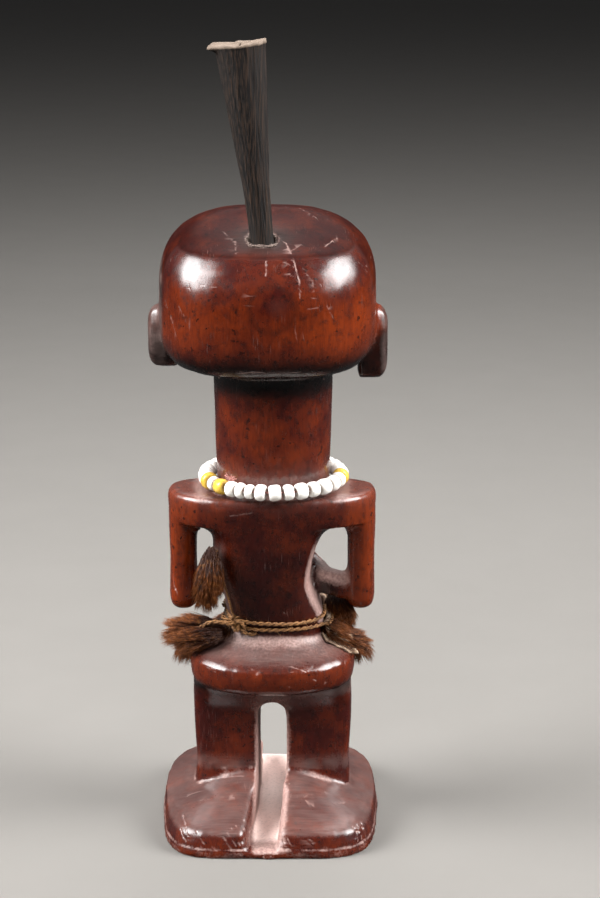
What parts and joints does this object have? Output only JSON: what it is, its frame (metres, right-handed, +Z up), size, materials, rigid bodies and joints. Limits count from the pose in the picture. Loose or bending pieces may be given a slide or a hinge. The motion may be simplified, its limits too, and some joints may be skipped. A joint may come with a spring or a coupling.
{
  "type": "carved power figure",
  "caption": "Carved wooden power figure standing on its base, with a horn in the crown, a bead necklace, a waist cord and strips of animal skin.",
  "frame": {"origin": "on the floor, on the flat underside of the base, under the axis of the neck", "axes": "+Z up, the figure faces +Y, +X to the right of someone who looks at its back"},
  "size_m": [0.0698, 0.0785, 0.2363],
  "materials": {
    "wood": "hand-carved hardwood with a dark red-brown oiled patina, worn lighter on the high places, dusty in the recesses",
    "horn": "weathered animal horn, dry and fibrous, with a pale cut end",
    "white_glass": "opaque white drawn-glass beads, worn smooth",
    "yellow_glass": "opaque yellow drawn-glass beads, worn smooth",
    "thread": "faded pink cotton thread",
    "cord": "twisted plant-fibre cord, dry and dusty",
    "skin": "dried animal skin with brown hair left on"
  },
  "bodies": {
    "root": {"bead_white_01": "white_glass", "bead_white_02": "white_glass", "bead_white_03": "white_glass", "bead_white_04": "white_glass", "bead_white_05": "white_glass", "bead_white_06": "white_glass", "bead_white_07": "white_glass", "bead_white_08": "white_glass", "bead_white_09": "white_glass", "bead_white_10": "white_glass", "bead_white_11": "white_glass", "bead_white_12": "white_glass", "bead_white_13": "white_glass", "bead_white_14": "white_glass", "bead_white_15": "white_glass", "bead_white_16": "white_glass", "bead_white_17": "white_glass", "bead_white_18": "white_glass", "bead_white_19": "white_glass", "bead_white_20": "white_glass", "bead_white_21": "white_glass", "bead_white_22": "white_glass", "bead_white_23": "white_glass", "bead_white_24": "white_glass", "bead_white_25": "white_glass", "bead_white_26": "white_glass", "bead_white_27": "white_glass", "bead_white_28": "white_glass", "bead_white_29": "white_glass", "bead_white_30": "white_glass", "bead_white_31": "white_glass", "bead_yellow_01": "yellow_glass", "bead_yellow_02": "yellow_glass", "bead_yellow_03": "yellow_glass", "crown_horn": "horn", "figure": "wood", "hair_tuft": "skin", "necklace_thread": "thread", "skin_strip": "skin", "waist_cord": "cord"}
  },
  "joints": []
}
